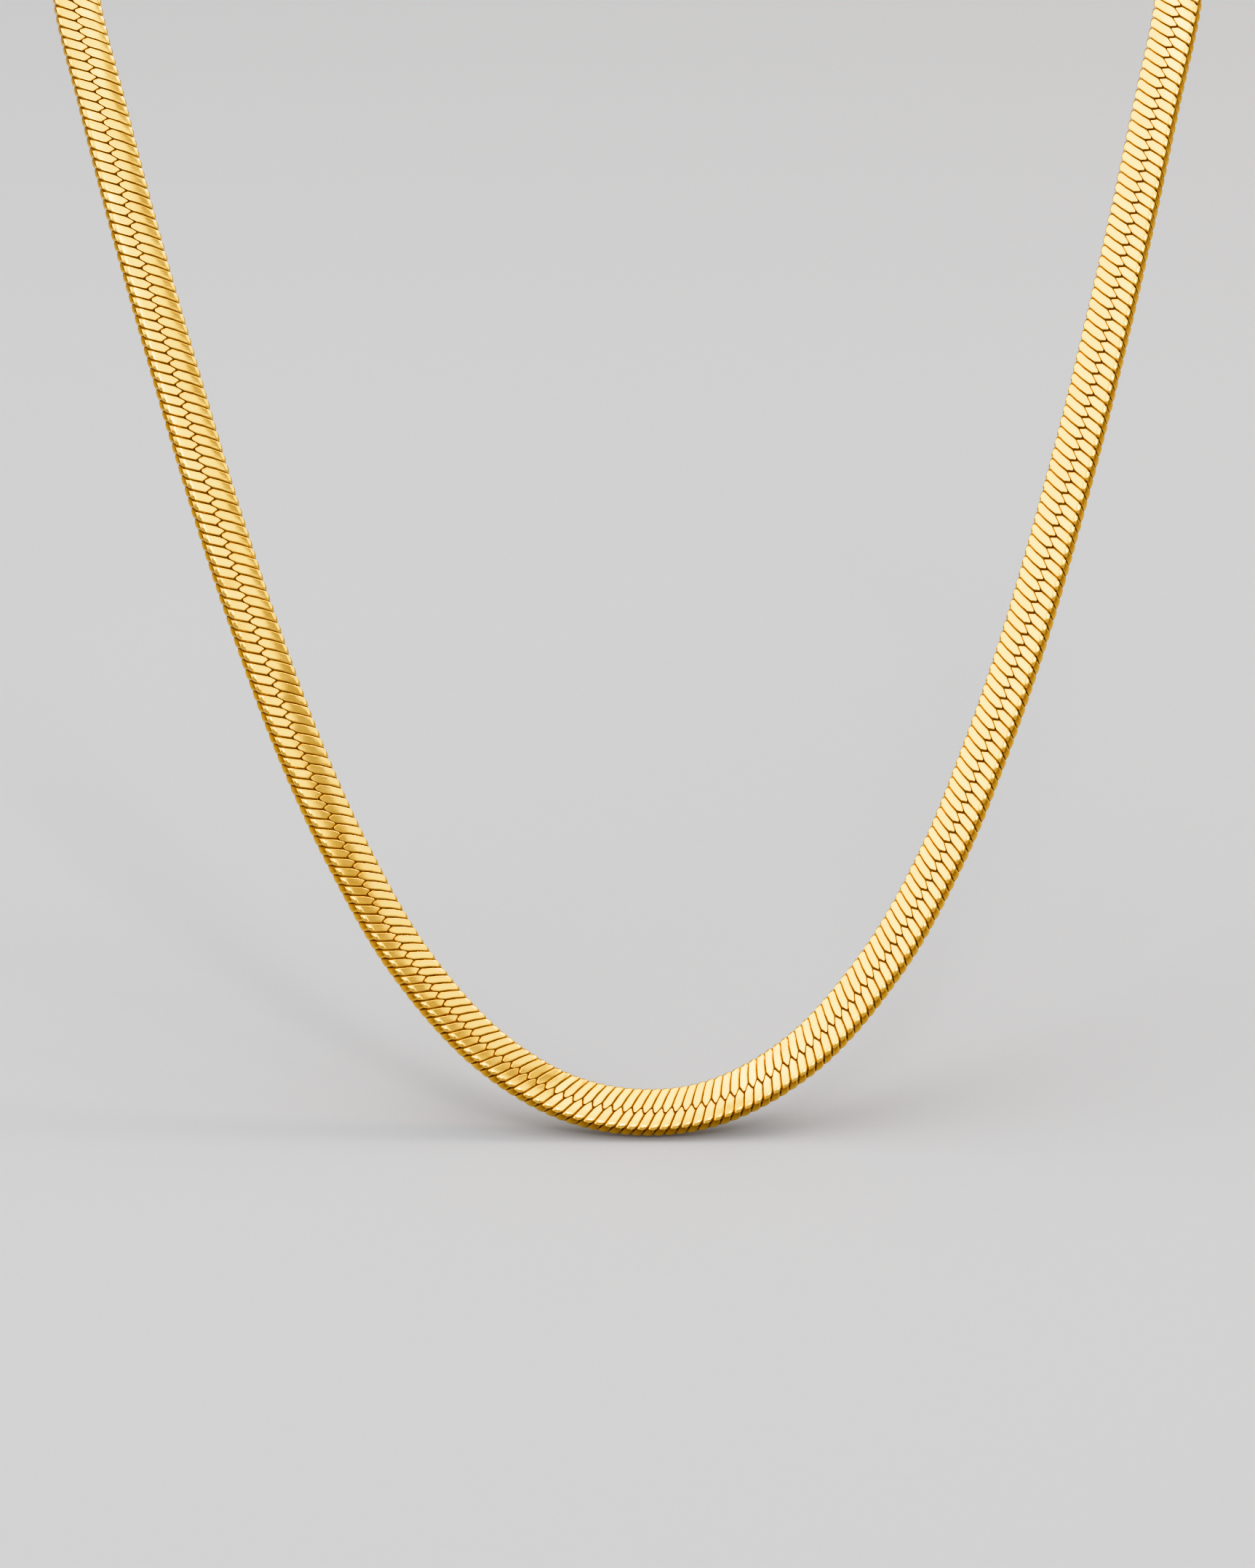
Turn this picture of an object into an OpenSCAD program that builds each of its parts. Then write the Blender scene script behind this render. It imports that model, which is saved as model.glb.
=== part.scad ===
// Herringbone chain: a flat woven band worn as a necklace, closed by a plain clasp at the nape.
// The origin is on the clasp's inner face, where the necklace rests on the nape.
// X runs to the wearer's left, Y to the back, and Z up.

/* [Chain] */
// Width across the chain's flat face
chain_w = 5; // [4:0.25:5.5]
// Thickness from the front face to the back face
chain_t = 1.8; // [1.4:0.1:1.9]
// Radius of the chain's four long edges
edge_r = 0.35; // [0.1:0.05:0.45]

/* [Clasp] */
// Length of the clasp along the chain
clasp_l = 16; // [14:1:20]
// Width of the clasp
clasp_w = 6.6; // [6.4:0.2:8]
// Thickness of the clasp
clasp_t = 2.8; // [2.6:0.1:3.2]
// Radius of the clasp's corners, seen from its face
clasp_corner = 0.6; // [0.5:0.1:2]
// Radius of the clasp's long edges
clasp_edge = 0.7; // [0.3:0.1:1]
// How deep each end of the chain goes into the clasp
socket_d = 4.5; // [2:0.5:5]
// Gap round the chain's end in its socket
socket_gap = 0.15; // [0.1:0.05:0.25]

/* [Hidden] */

// How far the chain's two ends stay from the middle of the clasp
end_x = clasp_l / 2 - socket_d;

// Middle line of the chain, seen from the front: from the clasp round the left shoulder, down
// to the low point of the front and up again. Columns: x, y, z, tilt, turn. Tilt is the angle
// that the face looks up from straight ahead, past 90 where it looks back over the nape. Turn
// leans the face towards the inside of the loop. Places are measured from the clasp's middle.
ROUTE = [
    [-end_x, 0, 0, 127, 0],
    [-12, 0, 0, 126, -1],
    [-22.4, -1.4, -0.4, 116, -5],
    [-32.5, -4.3, -1.5, 103, -10],
    [-42.2, -9, -4, 89, -14],
    [-50.6, -15.5, -8.3, 74, -14],
    [-56.5, -23.4, -14.6, 59, -8],
    [-59.1, -31.5, -22.5, 47, 0],
    [-58.8, -38, -30, 40, 9],
    [-55.7, -45.5, -40, 40, 12],
    [-52.5, -52.5, -50, 40, 13],
    [-49.1, -58.9, -60, 40, 14],
    [-45.7, -64.7, -70, 40, 14],
    [-42.2, -70, -80, 40, 14],
    [-38.4, -75, -90, 40, 15],
    [-34.2, -80, -100, 40, 18],
    [-29.1, -85, -110, 40, 21],
    [-22.6, -90, -120, 40, 22],
    [-14, -94.2, -128.5, 40, 18],
    [-4, -96.6, -133.3, 40, 12],
    [7.4, -96.7, -133.5, 40, 12],
    [17.9, -94.3, -128.7, 40, 15],
    [26.5, -90, -120, 40, 18],
    [32.8, -85, -110, 40, 22],
    [37.4, -80, -100, 40, 22],
    [41.3, -75, -90, 40, 22],
    [44.6, -70, -80, 40, 22],
    [47.7, -64.7, -70, 40, 22],
    [50.6, -58.9, -60, 40, 22],
    [53.4, -52.5, -50, 40, 22],
    [56.1, -45.5, -40, 40, 22],
    [58.8, -38, -30, 40, 16],
    [59.1, -31.5, -22.5, 47, 0],
    [56.5, -23.4, -14.6, 59, -8],
    [50.6, -15.5, -8.3, 74, -14],
    [42.2, -9, -4, 89, -14],
    [32.5, -4.3, -1.5, 103, -10],
    [22.4, -1.4, -0.4, 116, -5],
    [12, 0, 0, 126, -1],
    [end_x, 0, 0, 127, 0]
];
LAST = len(ROUTE) - 1;

// Rings in each stretch between two points of the route
rings_per_stretch = 2;
RINGS = LAST * rings_per_stretch;

// Direction in which a face of a given tilt looks
function facing(tilt) = [0, -cos(tilt), sin(tilt)];

// The clasp's middle lies half its thickness out from the nape
nape_tilt = ROUTE[0][3];
nape_shift = facing(nape_tilt) * clasp_t / 2;

// Route point by number, carried straight on past both ends
function route_point(i) =
    i < 0 ? 2 * ROUTE[0] - ROUTE[1] :
    i > LAST ? 2 * ROUTE[LAST] - ROUTE[LAST - 1] :
    ROUTE[i];

// Smooth curve through the route's points, at share u of the stretch that starts at point i
function along(i, u) =
    let (a = route_point(i - 1), b = route_point(i), c = route_point(i + 1), d = route_point(i + 2))
    b + u / 2 * ((c - a) + u * ((2 * a - 5 * b + 4 * c - d) + u * (3 * b - a - 3 * c + d)));

// Direction of that curve
function heading(i, u) =
    let (a = route_point(i - 1), b = route_point(i), c = route_point(i + 1), d = route_point(i + 2))
    let (v = (c - a) + u * (2 * (2 * a - 5 * b + 4 * c - d) + u * 3 * (3 * b - a - 3 * c + d)))
    unit([v[0], v[1], v[2]]);

function unit(v) = v / norm(v);

// One ring's middle, its direction outwards across the chain, and the way its face looks
function ring_frame(k) =
    let (i = min(floor(k / rings_per_stretch), LAST - 1), u = k / rings_per_stretch - i)
    let (p = along(i, u), t = heading(i, u))
    let (n = facing(p[3]), face = unit(n - (n * t) * t), out = cross(t, face))
    [
        [p[0], p[1], p[2]] + nape_shift,
        out * cos(p[4]) + face * sin(p[4]),
        face * cos(p[4]) - out * sin(p[4])
    ];

// Outline of the chain's section: a flat bar with rounded long edges, three points a corner
SECTION = [
    for (quarter = [0:3], step = [0:2])
        let (turn = 90 * quarter + 45 * step)
        let (sx = quarter == 0 || quarter == 3 ? 1 : -1, sy = quarter < 2 ? 1 : -1)
        [
            sx * (chain_w / 2 - edge_r) + edge_r * cos(turn),
            sy * (chain_t / 2 - edge_r) + edge_r * sin(turn)
        ]
];
SIDES = len(SECTION);

// Plate in the XY plane with rounded corners
module rounded_plate(length, width, corner) {
    square([length - 2 * corner, width], center = true);
    square([length, width - 2 * corner], center = true);
    for (sx = [-1, 1], sy = [-1, 1])
        translate([sx * (length / 2 - corner), sy * (width / 2 - corner)])
            circle(r = corner, $fn = 48);
}

// The woven band, from one socket of the clasp round the neck to the other
module chain() {
    frames = [for (k = [0:RINGS]) ring_frame(k)];
    points = [for (f = frames, s = SECTION) f[0] + s[0] * f[1] + s[1] * f[2]];
    sides = [
        for (k = [0:RINGS - 1], j = [0:SIDES - 1])
            let (a = k * SIDES + j, b = k * SIDES + (j + 1) % SIDES)
            [a, a + SIDES, b + SIDES, b]
    ];
    first_cap = [for (j = [0:SIDES - 1]) j];
    last_cap = [for (j = [SIDES - 1:-1:0]) RINGS * SIDES + j];
    color("gold")
        polyhedron(points = points, faces = concat([first_cap], sides, [last_cap]), convexity = 8);
}

// One plain closed clasp, with a socket at each end for the chain
module clasp() {
    color("goldenrod")
        translate(nape_shift)
            rotate([90 - nape_tilt, 0, 0])
                difference() {
                    intersection() {
                        translate([0, 0, -clasp_t / 2])
                            linear_extrude(clasp_t)
                                rounded_plate(clasp_l, clasp_w, clasp_corner);
                        rotate([90, 0, 90])
                            translate([0, 0, -clasp_l])
                                linear_extrude(2 * clasp_l)
                                    rounded_plate(clasp_w, clasp_t, clasp_edge);
                    }
                    for (side = [-1, 1])
                        translate([side * clasp_l / 2, 0, 0])
                            cube([
                                2 * (socket_d + socket_gap),
                                chain_w + 2 * socket_gap,
                                chain_t + 2 * socket_gap
                            ], center = true);
                }
}

chain();
clasp();
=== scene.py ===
import math

import bpy
import numpy as np
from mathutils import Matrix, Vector


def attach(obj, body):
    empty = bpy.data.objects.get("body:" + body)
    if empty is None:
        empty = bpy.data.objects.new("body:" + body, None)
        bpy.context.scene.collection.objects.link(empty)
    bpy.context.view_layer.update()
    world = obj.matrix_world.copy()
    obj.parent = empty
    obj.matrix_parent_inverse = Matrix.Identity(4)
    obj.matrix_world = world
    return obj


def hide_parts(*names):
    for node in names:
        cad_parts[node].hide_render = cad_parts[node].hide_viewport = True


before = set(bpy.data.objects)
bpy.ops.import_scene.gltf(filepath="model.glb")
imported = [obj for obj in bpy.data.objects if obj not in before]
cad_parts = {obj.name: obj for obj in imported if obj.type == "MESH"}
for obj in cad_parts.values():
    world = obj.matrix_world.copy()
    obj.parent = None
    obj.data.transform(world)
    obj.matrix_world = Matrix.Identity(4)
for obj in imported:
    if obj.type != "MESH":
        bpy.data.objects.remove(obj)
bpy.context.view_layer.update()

# The line of the chain. A flat woven band of gold plated wire hangs from the nape in a U, with its
# face turned up to the viewer. All the links below are laid along this line.
MM = 0.001
CLASP_THICK = 2.8 * MM
STEPS_A_STRETCH = 48

# From the clasp round the left shoulder, down to the low point of the front and up again. Columns:
# x, y, z in metres, tilt and turn in degrees. Tilt is how far the face looks up, past 90 where it
# looks back over the nape, and turn leans it towards the inside of the loop.
HANG = np.array([
    [-0.0035, 0, 0, 127, 0],
    [-0.012, 0, 0, 126, -1],
    [-0.0224, -0.0014, -0.0004, 116, -5],
    [-0.0325, -0.0043, -0.0015, 103, -10],
    [-0.0422, -0.009, -0.004, 89, -14],
    [-0.0506, -0.0155, -0.0083, 74, -14],
    [-0.0565, -0.0234, -0.0146, 59, -8],
    [-0.0591, -0.0315, -0.0225, 47, 0],
    [-0.0588, -0.038, -0.03, 40, 9],
    [-0.0557, -0.0455, -0.04, 40, 12],
    [-0.0525, -0.0525, -0.05, 40, 13],
    [-0.0491, -0.0589, -0.06, 40, 14],
    [-0.0457, -0.0647, -0.07, 40, 14],
    [-0.0422, -0.07, -0.08, 40, 14],
    [-0.0384, -0.075, -0.09, 40, 15],
    [-0.0342, -0.08, -0.1, 40, 18],
    [-0.0291, -0.085, -0.11, 40, 21],
    [-0.0226, -0.09, -0.12, 40, 22],
    [-0.014, -0.0942, -0.1285, 40, 18],
    [-0.004, -0.0966, -0.1333, 40, 12],
    [0.0074, -0.0967, -0.1335, 40, 12],
    [0.0179, -0.0943, -0.1287, 40, 15],
    [0.0265, -0.09, -0.12, 40, 18],
    [0.0328, -0.085, -0.11, 40, 22],
    [0.0374, -0.08, -0.1, 40, 22],
    [0.0413, -0.075, -0.09, 40, 22],
    [0.0446, -0.07, -0.08, 40, 22],
    [0.0477, -0.0647, -0.07, 40, 22],
    [0.0506, -0.0589, -0.06, 40, 22],
    [0.0534, -0.0525, -0.05, 40, 22],
    [0.0561, -0.0455, -0.04, 40, 22],
    [0.0588, -0.038, -0.03, 40, 16],
    [0.0591, -0.0315, -0.0225, 47, 0],
    [0.0565, -0.0234, -0.0146, 59, -8],
    [0.0506, -0.0155, -0.0083, 74, -14],
    [0.0422, -0.009, -0.004, 89, -14],
    [0.0325, -0.0043, -0.0015, 103, -10],
    [0.0224, -0.0014, -0.0004, 116, -5],
    [0.012, 0, 0, 126, -1],
    [0.0035, 0, 0, 127, 0],
])


def smooth_line(rows, steps):
    """Smooth curve through the rows: between b and c, with neighbours a and d, it is
    b + u/2 ((c - a) + u ((2a - 5b + 4c - d) + u (3b - a - 3c + d))). Both ends run on straight."""
    ends = np.vstack([2 * rows[0] - rows[1], rows, 2 * rows[-1] - rows[-2]])
    a, b, c, d = (ends[k : len(ends) - 3 + k, None] for k in range(4))
    u = (np.arange(steps) / steps)[None, :, None]
    bent = b + u / 2 * ((c - a) + u * ((2 * a - 5 * b + 4 * c - d) + u * (3 * b - a - 3 * c + d)))
    return np.vstack([bent.reshape(-1, rows.shape[1]), rows[-1:]])


def unit(v):
    """Each row divided by its own length."""
    return v / np.linalg.norm(v, axis=-1, keepdims=True)


def facing(tilt):
    """Direction (0, -cos tilt, sin tilt) in which a face of that tilt looks, tilt in radians."""
    return np.stack([0 * tilt, -np.cos(tilt), np.sin(tilt)], -1)


line = smooth_line(HANG, STEPS_A_STRETCH)
tilt, turn = np.radians(line[:, 3]), np.radians(line[:, 4:5])
middle = line[:, :3] + facing(tilt[:1]) * CLASP_THICK / 2
along = unit(np.gradient(middle, axis=0))
looks = facing(tilt)
face = unit(looks - np.sum(looks * along, 1, keepdims=True) * along)
out = np.cross(along, face)
out, face = out * np.cos(turn) + face * np.sin(turn), face * np.cos(turn) - out * np.sin(turn)
run = np.concatenate([[0], np.cumsum(np.linalg.norm(np.diff(middle, axis=0), axis=1))])


def on_line(table, s):
    """Rows of a table of vectors at distances s along the chain, straight between its own rows."""
    return np.stack([np.interp(s, run, table[:, k]) for k in range(3)], -1)


def in_space(s, a, h):
    """Point middle(s) + a out(s) + h face(s): s along the chain, a outwards across it, h up from it."""
    return on_line(middle, s) + a[..., None] * on_line(out, s) + h[..., None] * on_line(face, s)


# The links. Each is a short piece of flat wire bent round one edge of the band like a staple, so it
# shows as a slanted slat in front, a rounded bump on the edge and a slat behind. Its tips are cut
# aslant, and the tips of the two rows interlock down the middle of both faces.

# The woven band, how far its faces fall off towards its edges, the bevel at the front of its wall
# and the quarter ellipse at the back. The chain's two ends have no link.
HALF_WIDE = 2.48 * MM
HALF_THICK = 0.89 * MM
FRONT_CROWN = 0.1 * MM
FRONT_ROLL = 0.18 * MM
BACK_CROWN = 0.17 * MM
FRONT_CORNER = 0.14 * MM
ROLL_WIDE = 0.5 * MM
ROLL_DEEP = 0.25 * MM
END_CLEAR = 0.6 * MM

# Where the seam between the two rows runs across the front, measured from the band's middle, how far
# a tip stays from the end of its seam, and where its rounding starts
SEAM_TOP = -0.14 * MM
SEAM_FOOT = 0.76 * MM
TIP_BLUNT = 0.27 * MM
TIP_ROUND = 0.12 * MM

# Lines between slats: where they bend in front and behind, how they bow, and how many of them a link
# moves on by when it goes round the edge
FRONT_BEND = 1.9 * MM
BACK_BEND = 1.1 * MM
BOW = 0.06 / MM
BOW_REACH = 1.75 * MM
LINES_ROUND_EDGE = 3

# Gaps between slats and beside the slanting lines of the seam, and the least width of a slat
SLAT_GAP = 0.125 * MM
SEAM_GAP = 0.06 * MM
LEAST_WIDE = 0.1 * MM

# Section of the wire: its depth, and the width and fall of its bevels on the face and on the wall. A
# bevel takes at most WIDEST_BEVEL of the width, and on the wall the middle stands WALL_CREST over the
# rims. Leans are in degrees, and every link rocks a little on its own.
SHEET = 0.24 * MM
FACE_BEVEL = 0.13 * MM
WALL_BEVEL = 0.22 * MM
WIDEST_BEVEL = 0.36
FACE_DROP = 0.06 * MM
WALL_DROP = 0.15 * MM
WALL_CREST = 0.035 * MM
BEVEL_LEAN = 52
LEFT_RIM_LEAN = 18
RIGHT_RIM_LEAN = 28
ROCK = math.radians(0.9)

# The 13 stations along a link: two at the front tip, the foot of the seam, the bend, the end of the front
# face, the top of the wall, two round its back corner, the end of the back face, its bend, the seam behind
# and two at the back tip. Each row holds one thing for every station: how much it is wall, how much
# painted shade darkens the middle of its wall, standing for the dark reflection of the shadowed floor,
# whether it ends the link, how far its gaps are those of the front seam, how many times as wide they are,
# and how much painted shade darkens its right bevel along the gap, beside the steep cut in front.
IS_WALL = np.array([0, 0, 0, 0, 0.5, 1, 1, 0.6, 0.15, 0, 0, 0, 0])
# Painted shade on the wall, standing for the dark reflection of the shadowed floor.
IS_PAINTED_SHADE = np.array([0, 0, 0, 0, 0, 1, 0.2, 0, 0, 0, 0, 0, 0])
IS_END = np.array([1, 0, 0, 0, 0, 0, 0, 0, 0, 0, 0, 0, 1])
AT_SEAM = np.array([1, 1, 0.5, 0, 0, 0, 0, 0, 0, 0, 0, 0, 0])
GAP_TIMES = np.array([1, 1, 1, 1, 1.9, 1.1, 0.5, 0.5, 0.8, 1, 1, 1, 1])
# Painted shade of the bevels along the gaps between slats.
BEVEL_PAINTED_SHADE = np.array([0.95, 0.8, 0.95, 0.5, 0.5, 0.5, 0.5, 0.5, 0.5, 0.5, 0.55, 0.4, 0.6])
LAST_FRONT = 4
FIRST_BACK = 8


def link_pitch(d):
    """Length of chain per link at distance d from the low point: 1.2 mm, and 12% less round the
    bottom of the U, as 1 - 0.12 / (1 + (d / 45 mm)^6)."""
    return 1.2 * MM * (1 - 0.12 / (1 + (d / (45 * MM)) ** 6))


def cut_lean(d):
    """How far a tip's steep cut runs along the chain: 0.25 mm at the low point, more on the left
    arm and less on the right, as 0.25 - 0.13 tanh(d / 35 mm)."""
    return (0.25 - 0.13 * np.tanh(d / (35 * MM))) * MM


def cut_gap(d):
    """Width of the gap beside that cut: 0.18 mm at the low point, less on the left arm and more on
    the right, as 0.18 + 0.03 tanh(d / 35 mm)."""
    return (0.18 + 0.03 * np.tanh(d / (35 * MM))) * MM


def tip_cut(d):
    """How far the corners of the tips are cut back: 0.06 mm at the low point, more on the left arm
    and less on the right, as 0.06 - 0.02 tanh(d / 35 mm)."""
    return (0.06 - 0.02 * np.tanh(d / (35 * MM))) * MM


def slant(d):
    """How far the lines between slats run along the chain per unit across it: 0.5 at the low point
    and 0.56 on both arms, as 0.56 - 0.06 / (1 + (d / 30 mm)^4)."""
    return 0.56 - 0.06 / (1 + (d / (30 * MM)) ** 4)


low_point = run[np.argmin(middle[:, 2])]
links_a_step = np.diff(run) / link_pitch((run[1:] + run[:-1]) / 2 - low_point)
count = np.concatenate([[0], np.cumsum(links_a_step)])
first, last = np.interp([END_CLEAR, run[-1] - END_CLEAR], run, count)
seam = np.interp(np.linspace(first, last, round(last - first) + 1), count, run)
pitch = link_pitch(seam - low_point)
cut = cut_lean(seam - low_point)
seam_lean = pitch - cut


def slat_edge(a):
    """Shift along the chain of the lines between slats, at distances a across it: 0 at the top of
    the seam, and falling by seam_lean in all across the seam itself. At a distance b beyond the seam
    it goes on by b (slant - BOW (BOW_REACH - |b|)), which bows the lines towards the edges."""
    in_seam = np.clip((a - SEAM_TOP) / (SEAM_FOOT - SEAM_TOP), 0, 1)
    beyond = np.minimum(a - SEAM_TOP, 0) + np.maximum(a - SEAM_FOOT, 0)
    lean = slant(seam - low_point)[:, None] - BOW * (BOW_REACH - np.abs(beyond))
    return -in_seam * seam_lean[:, None] - beyond * lean


def link_path():
    """Stations of a link round the band's outer edge, from its front tip to its back tip: a, h and the
    angle from the front face. With w = a / half width, the front leg falls by FRONT_CROWN w^2 +
    FRONT_ROLL w^16 and the back leg by BACK_CROWN w^2, and an angle is the arctangent of the slope.
    The front corner is one bevel, and the back one a quarter of an ellipse."""
    roll = np.radians([0, 45])
    front_tip, back_tip = SEAM_TOP + TIP_BLUNT, TIP_BLUNT - SEAM_FOOT
    front_a = np.array([front_tip, front_tip + TIP_ROUND, SEAM_FOOT, FRONT_BEND, HALF_WIDE - FRONT_CORNER])
    back_a = np.array([HALF_WIDE - ROLL_WIDE, BACK_BEND, -SEAM_TOP, back_tip + TIP_ROUND, back_tip])
    front_w, back_w = front_a / HALF_WIDE, back_a / HALF_WIDE
    front_h = HALF_THICK - FRONT_CROWN * front_w**2 - FRONT_ROLL * front_w**16
    back_h = -HALF_THICK + BACK_CROWN * back_w**2
    roll_a = HALF_WIDE - ROLL_WIDE * (1 - np.cos(roll))
    roll_h = back_h[0] + ROLL_DEEP * (1 - np.sin(roll))
    a = np.concatenate([front_a, [HALF_WIDE], roll_a, back_a])
    h = np.concatenate([front_h, [front_h[-1] - FRONT_CORNER], roll_h, back_h])
    roll_angle = math.pi / 2 + np.arctan2(np.sin(roll) * ROLL_WIDE, np.cos(roll) * ROLL_DEEP)
    front_angle = np.arctan((2 * FRONT_CROWN * front_w + 16 * FRONT_ROLL * front_w**15) / HALF_WIDE)
    back_angle = np.arctan(2 * BACK_CROWN * back_w / HALF_WIDE)
    angle = np.concatenate([front_angle, [math.pi / 2], roll_angle, math.pi - back_angle])
    return a, h, angle


def link_sides(a, path):
    """Places along the chain of every link's two sides at each station, and their slopes. A side is
    an edge line between slats, which turns from the front line to the back one as share goes from 0
    to 1 round the wall. The tips are bounded by the steep cuts, which run from the top of one seam
    line to the foot of the next, in all by cut. Each side is then set in by half its gap, measured
    square to it, and at both ends by tip_cut too, but a slat stays LEAST_WIDE."""
    share = np.clip((path - path[LAST_FRONT]) / (path[FIRST_BACK] - path[LAST_FRONT]), 0, 1)
    front = seam[:, None] + slat_edge(np.where(share > 0, a[LAST_FRONT], a)[None])
    back = seam[:, None] + slat_edge(np.where(share < 1, -a[FIRST_BACK], -a)[None])
    edges = front[LINES_ROUND_EDGE:] * (1 - share) + back[:-LINES_ROUND_EDGE] * share
    left, right = edges[:-1].copy(), edges[1:].copy()
    front_tip, back_tip = slice(0, 2), slice(-2, None)
    along_cut = (np.abs(a) - SEAM_TOP * np.sign(a)) / (SEAM_FOOT - SEAM_TOP)
    right[:, front_tip] = (seam[:, None] + cut[:, None] * along_cut[front_tip])[LINES_ROUND_EDGE:-1]
    left[:, back_tip] = (seam[:, None] + cut[:, None] * along_cut[back_tip])[: -LINES_ROUND_EDGE - 1]
    slopes = [np.gradient(side, path, axis=1) for side in (left, right)]
    middle_link = (left + right).mean(1, keepdims=True) / 2 - low_point
    seam_side = SLAT_GAP + (SEAM_GAP - SLAT_GAP) * AT_SEAM
    cut_side = SLAT_GAP + (cut_gap(middle_link) - SLAT_GAP) * AT_SEAM
    left_gap = GAP_TIMES * np.where(share > 0.5, cut_side[:, ::-1], seam_side)
    right_gap = GAP_TIMES * np.where(share > 0.5, seam_side[::-1], cut_side)
    left = left + left_gap / 2 * np.sqrt(1 + slopes[0] ** 2) + tip_cut(middle_link) * IS_END
    right = right - right_gap / 2 * np.sqrt(1 + slopes[1] ** 2) - tip_cut(middle_link) * IS_END
    centre, half = (left + right) / 2, np.maximum(right - left, LEAST_WIDE) / 2
    return centre - half, centre + half, slopes


def link_painted_shade():
    """Painted shade of a link, from 0 to 1, at the six points of its section at every station: keel, left
    bevel, left rim, crown, right rim and right bevel. It darkens the keel and bevels in the gaps between
    slats, and the wall, where it stands for the dark reflection of the shadowed floor. The keel is 0.95.
    The right bevel takes the bevel shade listed for its station, and the left one takes that list read
    backwards, as the back is the front turned half round. On the wall both are brighter, by 0.3 on the
    left and 0.35 on the right. A rim is 0.06, and where the station's wall is painted dark, the left bevel
    gains 0.6, the left rim 0.84, the crown 1 and the right rim 0.2."""
    keel = np.full(len(BEVEL_PAINTED_SHADE), 0.95)
    left_bevel = BEVEL_PAINTED_SHADE[::-1] - 0.3 * IS_WALL + 0.6 * IS_PAINTED_SHADE
    right_bevel = BEVEL_PAINTED_SHADE - 0.35 * IS_WALL
    left_rim, right_rim = 0.06 + 0.84 * IS_PAINTED_SHADE, 0.06 + 0.2 * IS_PAINTED_SHADE
    return np.stack([keel, left_bevel, left_rim, IS_PAINTED_SHADE, right_rim, right_bevel], 1)


def link_row(name, flip, seed):
    """One row of links as a mesh. The section of a link is a flat top with a bevel on both sides,
    crested where it turns round the edge, and a keel below, carried along its path. A point lies at
    a - below sin(angle) across the band and at h - below cos(angle) over it. Its normal leans by its
    own angle from the skin towards the link's side. flip is 1 for the row round the outer edge, and
    -1 for the same row turned half round the chain's own line, which goes round the inner edge."""
    rng = np.random.default_rng(seed)
    a, h, angle = link_path()
    path = np.concatenate([[0], np.cumsum(np.hypot(np.diff(a), np.diff(h)))])
    left, right, (slope_l, slope_r) = link_sides(a, path)
    links, stations = left.shape
    wide, centre = right - left, (left + right) / 2
    bevel = np.minimum(FACE_BEVEL + (WALL_BEVEL - FACE_BEVEL) * IS_WALL, WIDEST_BEVEL * wide)
    s = np.stack([centre, left, left + bevel, centre, right - bevel, right], 2)
    drop, crest = FACE_DROP + (WALL_DROP - FACE_DROP) * IS_WALL, WALL_CREST * IS_WALL
    none = np.zeros(stations)
    rock = rng.normal(0, ROCK, (links, 1, 1))
    below = np.stack([none + SHEET, drop, crest, none, crest, drop], 1) + rock * (s - centre[..., None])
    sin, cos = (np.broadcast_to(x[:, None], s.shape) for x in (np.sin(angle), np.cos(angle)))
    points = in_space(s, flip * (a[:, None] - below * sin), flip * (h[:, None] - below * cos))

    left_rim, right_rim = -LEFT_RIM_LEAN * IS_WALL, RIGHT_RIM_LEAN * IS_WALL
    lean = np.stack([none + 180, none - BEVEL_LEAN, left_rim, none, right_rim, none + BEVEL_LEAN], 1)
    lean = (np.radians(lean) + rock)[..., None]
    mean_slope = (slope_l + slope_r) / 2
    slope = np.stack([mean_slope, slope_l, slope_l, mean_slope, slope_r, slope_r], 2)[..., None]
    outward, upward = flip * on_line(out, s), flip * on_line(face, s)
    skin = sin[..., None] * outward + cos[..., None] * upward
    onward = cos[..., None] * outward - sin[..., None] * upward
    side = (on_line(along, s) - slope * onward) / np.sqrt(1 + slope**2)
    normals = np.cos(lean) * skin + np.sin(lean) * side

    ring = s.shape[2]
    number = np.arange(links * stations * ring).reshape(links, stations, ring)
    here, there = number[:, :-1], number[:, 1:]
    quads = np.stack([here, there, np.roll(there, -1, 2), np.roll(here, -1, 2)], -1).reshape(-1, 4)
    caps = np.concatenate([number[:, 0], number[:, -1, ::-1]])
    cap_normals = np.concatenate([-onward[:, 0, 0], onward[:, -1, 0]])
    mesh = bpy.data.meshes.new(name)
    mesh.from_pydata(points.reshape(-1, 3), [], quads.tolist() + caps.tolist())
    mesh.shade_smooth()
    corner_normals = [normals.reshape(-1, 3)[quads.ravel()], np.repeat(cap_normals, ring, 0)]
    mesh.normals_split_custom_set(np.concatenate(corner_normals).tolist())

    grain = mesh.uv_layers.new(name="grain")
    shift = rng.uniform(0, 50, (links, 1, 1, 2))
    across = s - centre[..., None]
    lengthways = np.broadcast_to(path[:, None], s.shape)
    uv = (np.stack([across, lengthways], -1) / MM + shift).reshape(-1, 2)
    grain.uv.foreach_set("vector", uv[np.concatenate([quads.ravel(), caps.ravel()])].ravel())
    # Painted shade of the gaps and walls, shifted by a little random tone for each link.
    tones = link_painted_shade() + rng.uniform(0, 0.08, (links, 1, 1))
    painted_shade_and_tone = mesh.attributes.new("painted_shade_and_tone", "FLOAT", "POINT")
    painted_shade_and_tone.data.foreach_set("value", tones.ravel())
    row = bpy.data.objects.new(name, mesh)
    bpy.context.scene.collection.objects.link(row)
    return row


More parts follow.
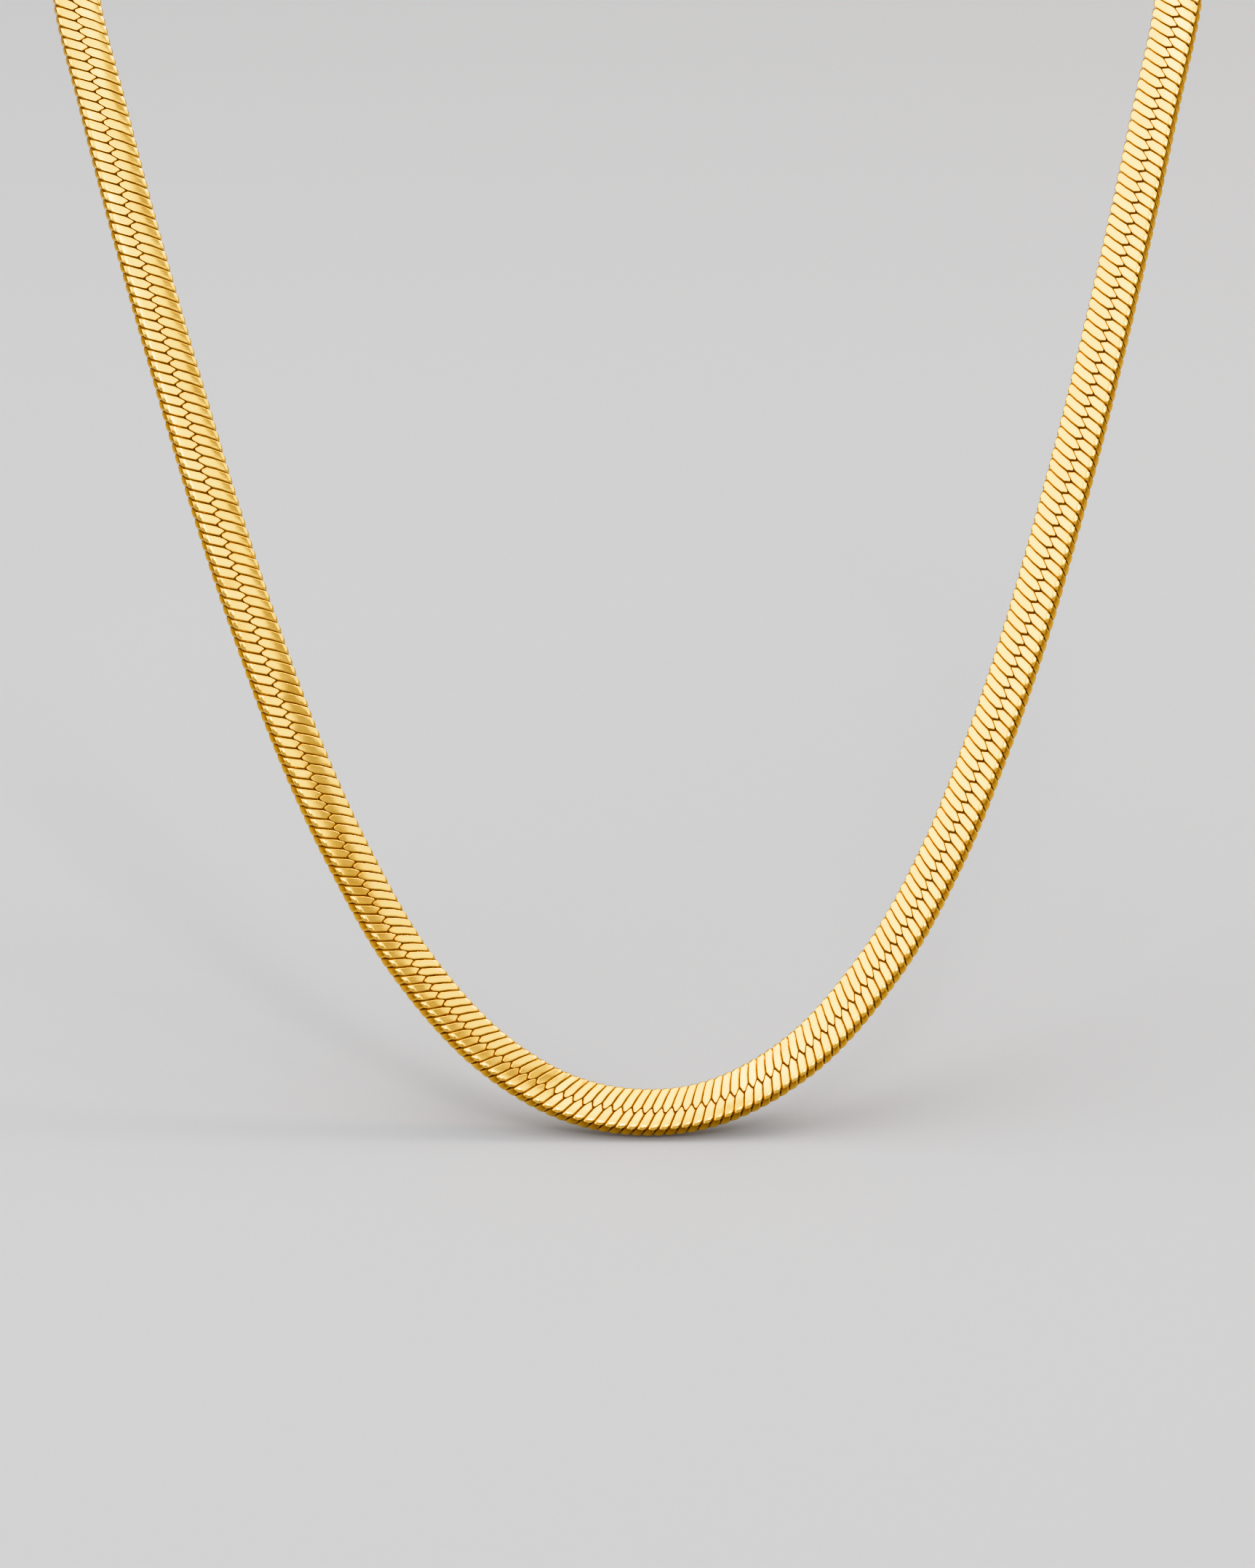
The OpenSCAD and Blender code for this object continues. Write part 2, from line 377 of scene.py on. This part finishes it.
def gold(name, tones, rough, grain_depth):
    """Gold plate with a fine brushed grain that runs the long way of the piece's own map, from noise 13
    times as fine across it as along it, and a slower cloud of wear that takes the roughness from 0.8 to
    1.25 times rough. Its colour goes through the four tones, at 0, 0.35, 0.75 and 1, as the piece's
    attribute of painted shade rises: the first is the plate's own colour, and the three darker ones paint
    the shade in the gaps between slats and on the walls. A piece without it has the first tone."""
    material = bpy.data.materials.new(name)
    material.use_nodes = True
    nodes, link = material.node_tree.nodes, material.node_tree.links.new
    shader = nodes["Principled BSDF"]
    shader.inputs["Metallic"].default_value = 1
    shader.inputs["Specular Tint"].default_value = (1, 0.85, 0.5, 1)
    # The attribute of painted shade picks the darker tones where the gaps and walls are painted as shaded.
    shade_mask = nodes.new("ShaderNodeAttribute")
    shade_mask.attribute_name = "painted_shade_and_tone"
    painted_shade_ramp = nodes.new("ShaderNodeValToRGB")
    stops = painted_shade_ramp.color_ramp.elements
    bright, deep, shaded_tone, dark = tones
    stops[0].color = (*bright, 1)
    stops[1].color = (*dark, 1)
    stops.new(0.35).color = (*deep, 1)
    stops.new(0.75).color = (*shaded_tone, 1)
    link(shade_mask.outputs["Fac"], painted_shade_ramp.inputs["Fac"])
    link(painted_shade_ramp.outputs["Color"], shader.inputs["Base Color"])
    place = nodes.new("ShaderNodeUVMap")
    place.uv_map = "grain"
    drawn = nodes.new("ShaderNodeMapping")
    drawn.inputs["Scale"].default_value = (9, 0.7, 1)
    link(place.outputs["UV"], drawn.inputs["Vector"])
    brushed = nodes.new("ShaderNodeTexNoise")
    brushed.inputs["Scale"].default_value = 1
    brushed.inputs["Detail"].default_value = 4
    link(drawn.outputs["Vector"], brushed.inputs["Vector"])
    wear = nodes.new("ShaderNodeTexNoise")
    wear.inputs["Scale"].default_value = 0.8
    link(place.outputs["UV"], wear.inputs["Vector"])
    matt = nodes.new("ShaderNodeMapRange")
    matt.inputs["From Min"].default_value = 0.3
    matt.inputs["From Max"].default_value = 0.7
    matt.inputs["To Min"].default_value = rough * 0.8
    matt.inputs["To Max"].default_value = rough * 1.25
    link(wear.outputs["Fac"], matt.inputs["Value"])
    link(matt.outputs["Result"], shader.inputs["Roughness"])
    bump = nodes.new("ShaderNodeBump")
    bump.inputs["Strength"].default_value = 1
    bump.inputs["Distance"].default_value = grain_depth
    link(brushed.outputs["Fac"], bump.inputs["Height"])
    link(bump.outputs["Normal"], shader.inputs["Normal"])
    return material


# Plate colour, then darker tones of painted shade down to the bottom of a gap
PLATE_AND_SHADE_TONES = [(1, 0.73, 0.3), (1, 0.6, 0.13), (0.7, 0.3, 0.04), (0.4, 0.15, 0.015)]
PLATE_ROUGH = 0.14
plate = gold("gold_plate", PLATE_AND_SHADE_TONES, PLATE_ROUGH, 0.0025 * MM)
for name, flip, seed in (("links_outer_row", 1, 3), ("links_inner_row", -1, 4)):
    row = link_row(name, flip, seed)
    row.data.materials.append(plate)
    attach(row, "root")
    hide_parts("chain")


# The folds inside the band. The inner legs of the links lie packed flat between the two faces, and only
# show as the bottom of the gaps between slats. Their dark amber colour is painted shade for the bottom of
# those gaps.
FOLD_HALF_WIDE = 2.16 * MM
FOLD_HALF_THICK = 0.64 * MM
SEAM_HOLLOW = 0.3 * MM
FOLD_STEP = 1.5 * MM
# Dark amber of painted shade for the bottom of the gaps.
FOLDS_PAINTED_SHADE = (0.52, 0.2, 0.022)
FOLDS_ROUGH = 0.75


def tube(name, rings):
    """Closed mesh through rings of points, an array (rings, points, 3), with flat end caps. Its
    grain map runs round the tube in u and along it in v, in millimetres."""
    count, around = rings.shape[:2]
    number = np.arange(count * around).reshape(count, around)
    here, there = number[:-1], number[1:]
    quads = np.stack([here, np.roll(here, -1, 1), np.roll(there, -1, 1), there], -1).reshape(-1, 4)
    mesh = bpy.data.meshes.new(name)
    caps = [number[0, ::-1].tolist(), number[-1].tolist()]
    mesh.from_pydata(rings.reshape(-1, 3), [], quads.tolist() + caps)
    mesh.shade_smooth()
    round_it = np.linalg.norm(np.diff(rings, axis=1, append=rings[:, :1]), axis=2)
    u = np.concatenate([np.zeros((count, 1)), np.cumsum(round_it, 1)], 1)
    steps = np.linalg.norm(np.diff(rings, axis=0), axis=2).mean(1)
    v = np.broadcast_to(np.concatenate([[0], np.cumsum(steps)])[:, None], u.shape)
    uv = np.stack([u, v], -1) / MM
    side = np.stack([uv[:-1, :-1], uv[:-1, 1:], uv[1:, 1:], uv[1:, :-1]], 2).reshape(-1, 2)
    ends = np.concatenate([uv[0, -2::-1], uv[-1, :-1]])
    mesh.uv_layers.new(name="grain").uv.foreach_set("vector", np.concatenate([side, ends]).ravel())
    piece = bpy.data.objects.new(name, mesh)
    bpy.context.scene.collection.objects.link(piece)
    return piece


def folds_outline():
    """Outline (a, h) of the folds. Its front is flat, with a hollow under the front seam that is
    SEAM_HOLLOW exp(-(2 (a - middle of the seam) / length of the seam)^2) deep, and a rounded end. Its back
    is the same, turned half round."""
    a = FOLD_HALF_WIDE * np.array([1, 0.97, 0.88, 0.5, 0.35, 0.25, 0.15, 0.05, -0.05, -0.2, -0.88, -0.97])
    hollow = SEAM_HOLLOW * np.exp(-((2 * (a - (SEAM_TOP + SEAM_FOOT) / 2) / (SEAM_FOOT - SEAM_TOP)) ** 2))
    h = FOLD_HALF_THICK * np.array([0.55, 0.85, 1, 1, 1, 1, 1, 1, 1, 1, 1, 0.85]) - hollow
    return np.concatenate([a, -a]), np.concatenate([h, -h])


fold_a, fold_h = folds_outline()
fold_run = np.linspace(0, run[-1], int(run[-1] / FOLD_STEP))
folds = tube("inner_folds", in_space(*np.broadcast_arrays(fold_run[:, None], fold_a, fold_h)))
folds.data.materials.append(gold("folds_painted_shade", [FOLDS_PAINTED_SHADE] * 4, FOLDS_ROUGH, 0.004 * MM))
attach(folds, "root")
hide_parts("chain")


# The clasp at the nape. A plain polished closure of thin gold plated brass, bent to a flat sleeve with
# rounded corners and edges. The two ends of the chain are fixed in its two sockets.

# Rings from the bottom of a socket round its lip to the body. Columns: distance from the middle,
# half width, half thickness and rounding of the corners, all in millimetres.
SLEEVE = np.array([
    [3.35, 2.65, 1.05, 0.1],
    [7.88, 2.65, 1.05, 0.1],
    [7.96, 2.7, 1.1, 0.13],
    [7.99, 2.82, 1.2, 0.2],
    [7.95, 2.98, 1.29, 0.34],
    [7.84, 3.1, 1.34, 0.46],
    [7.6, 3.21, 1.37, 0.58],
    [7.2, 3.27, 1.385, 0.66],
    [6.4, 3.29, 1.39, 0.7],
    [3, 3.29, 1.395, 0.7],
]) * MM


def sleeve_rings(rows):
    """Rings of points of the clasp, from its left socket over the body into its right one: x, and the
    four quarter circles of the rounding's radius about the corner centres of each row's bar."""
    turned = np.radians(np.arange(0, 360, 90)[:, None] + np.array([0, 22.5, 45, 67.5, 90])).ravel()
    side_a, side_h = np.repeat([1, -1, -1, 1], 5), np.repeat([1, 1, -1, -1], 5)
    x, wide, thick, rounding = (column[:, None] for column in rows.T)
    a = side_a * (wide - rounding) + rounding * np.cos(turned)
    h = side_h * (thick - rounding) + rounding * np.sin(turned)
    across, up = out[0], face[0]
    spot = a[..., None] * across + h[..., None] * up + middle[0] * [0, 1, 1]
    return spot + x[..., None] * [1, 0, 0]


both_ends = np.vstack([SLEEVE, SLEEVE[::-1] * [-1, 1, 1, 1]])
clasp = tube("clasp_sleeve", sleeve_rings(both_ends))
clasp.modifiers.new("even_faces", "WEIGHTED_NORMAL").keep_sharp = True
clasp.data.materials.append(gold("clasp_plate", PLATE_AND_SHADE_TONES, PLATE_ROUGH, 0.003 * MM))
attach(clasp, "root")
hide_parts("clasp")


# The camera. It looks from the photo's angle, 20 degrees down and 0.65 m away, through a long lens
# whose focal length is 8580 of the photo's pixels, with the frame 2156 of them high.
SENSOR = 36
FOCAL_PX = 8580
FRAME_HIGH_PX = 2156
camera = bpy.data.objects.new("camera", bpy.data.cameras.new("camera"))
bpy.context.scene.collection.objects.link(camera)
bpy.context.scene.camera = camera
camera.location = (0, -0.69165, 0.12004)
aim = Vector((0, -0.08085, -0.10227))
camera.rotation_mode = "QUATERNION"
camera.rotation_quaternion = (aim - camera.location).to_track_quat("-Z", "Y")
camera.data.sensor_width = SENSOR
camera.data.lens = SENSOR * FOCAL_PX / FRAME_HIGH_PX


# The floor. A plain sheet of pale matt paper, just under the lowest link and wide enough to have no
# edge in any view. Its colour takes the blue out of the daylight, so that it shows as a neutral grey.
bpy.ops.mesh.primitive_plane_add(size=60, location=(0, 1, -0.1351))
floor = bpy.context.object
floor.name = "floor"
paper = bpy.data.materials.new("floor_paper")
paper.use_nodes = True
paper_nodes, paper_link = paper.node_tree.nodes, paper.node_tree.links.new
sheet = paper_nodes["Principled BSDF"]
sheet.inputs["Base Color"].default_value = (0.245, 0.195, 0.155, 1)
sheet.inputs["Roughness"].default_value = 0.85
paper_place = paper_nodes.new("ShaderNodeTexCoord")
fibres = paper_nodes.new("ShaderNodeTexNoise")
fibres.inputs["Scale"].default_value = 900
fibres.inputs["Detail"].default_value = 3
relief = paper_nodes.new("ShaderNodeBump")
relief.inputs["Distance"].default_value = 0.03 * MM
paper_link(paper_place.outputs["Object"], fibres.inputs["Vector"])
paper_link(fibres.outputs["Fac"], relief.inputs["Height"])
paper_link(relief.outputs["Normal"], sheet.inputs["Normal"])
floor.data.materials.append(paper)


# The light. Large soft panels of daylight stand round the chain, one for each side that its faces
# mirror. One narrow bright panel in front makes the glints on the ends of the slats, and a small
# white light behind on the right adds a soft shadow.
CHAIN_MIDDLE = (0, -0.06, -0.07)
PANEL_APART = 0.75
DAYLIGHT = (0.8, 1, 1.25)
WARM_ROOM = (1, 0.8, 0.42)
GREY_ROOM = (0.28, 0.28, 0.28)


def power(radiance, wide, tall):
    """Watts of a soft light of that size that shines with that radiance: radiance pi area."""
    return radiance * math.pi * wide * tall


def soft_light(name, place, at, wide, tall, watts, tint=(1, 1, 1)):
    """A rectangular soft light at place that shines towards at."""
    lamp = bpy.data.lights.new(name, "AREA")
    lamp.shape = "RECTANGLE"
    lamp.size, lamp.size_y, lamp.energy, lamp.color = wide, tall, watts, tint
    box = bpy.data.objects.new(name, lamp)
    bpy.context.scene.collection.objects.link(box)
    box.location = place
    box.rotation_mode = "QUATERNION"
    box.rotation_quaternion = (Vector(at) - Vector(place)).to_track_quat("-Z", "Y")


def panel(name, azimuth, half_angle, low, high, radiance):
    """An upright soft light, PANEL_APART from the chain's middle, that faces it level from that
    azimuth. It reaches half_angle to both sides and from the low to the high elevation, in degrees,
    so its sides lie at PANEL_APART times the tangents of these."""
    az = math.radians(azimuth)
    foot, top = (PANEL_APART * math.tan(math.radians(angle)) for angle in (low, high))
    wide, tall = 2 * PANEL_APART * math.tan(math.radians(half_angle)), top - foot
    x, y, z = CHAIN_MIDDLE
    level = z + (foot + top) / 2
    place = (x + PANEL_APART * math.sin(az), y - PANEL_APART * math.cos(az), level)
    soft_light(name, place, (x, y, level), wide, tall, power(radiance, wide, tall), DAYLIGHT)


panel("left_panel", -79, 45, 20, 72, 3)
panel("front_panel", 11, 39, 39, 72, 1.5)
panel("front_spark", 12, 7, 37, 58, 15)
panel("right_panel", 106, 38, 22, 66, 1.15)
sky_wide, sky_tall = 1.15, 1.4
sky_power = power(2.6, sky_wide, sky_tall)
soft_light("overhead_panel", (-0.125, 0.2, 1.2), (-0.125, 0.2, 0), sky_wide, sky_tall, sky_power, DAYLIGHT)
soft_light("key", (0.9, 0.35, 1), CHAIN_MIDDLE, 0.3, 0.3, 6)


# The room. The floor gets even daylight from it, the gold mirrors it as warm and dim, and behind the
# floor it shows as a plain grey.
def room_light(even, color, strength):
    """One even light from all round, given by the node even."""
    even.inputs["Color"].default_value = (*color, 1)
    even.inputs["Strength"].default_value = strength
    return even.outputs[0]


def choose(ray, otherwise, chosen):
    """The chosen light for rays of that kind, and the other light for the rest."""
    either = room_nodes.new("ShaderNodeMixShader")
    room_link(rays.outputs[ray], either.inputs[0])
    room_link(otherwise, either.inputs[1])
    room_link(chosen, either.inputs[2])
    return either.outputs[0]


room = bpy.data.worlds.new("studio")
bpy.context.scene.world = room
room.use_nodes = True
room_nodes, room_link = room.node_tree.nodes, room.node_tree.links.new
warm = room_light(room_nodes["Background"], WARM_ROOM, 0.6)
daylight = room_light(room_nodes.new("ShaderNodeBackground"), DAYLIGHT, 1.5)
backdrop = room_light(room_nodes.new("ShaderNodeBackground"), GREY_ROOM, 1)
rays = room_nodes.new("ShaderNodeLightPath")
mirrored = choose("Is Glossy Ray", daylight, warm)
seen = choose("Is Camera Ray", mirrored, backdrop)
room_link(seen, room_nodes["World Output"].inputs["Surface"])
bpy.context.scene.view_settings.view_transform = "Khronos PBR Neutral"
bpy.context.scene.view_settings.look = "None"
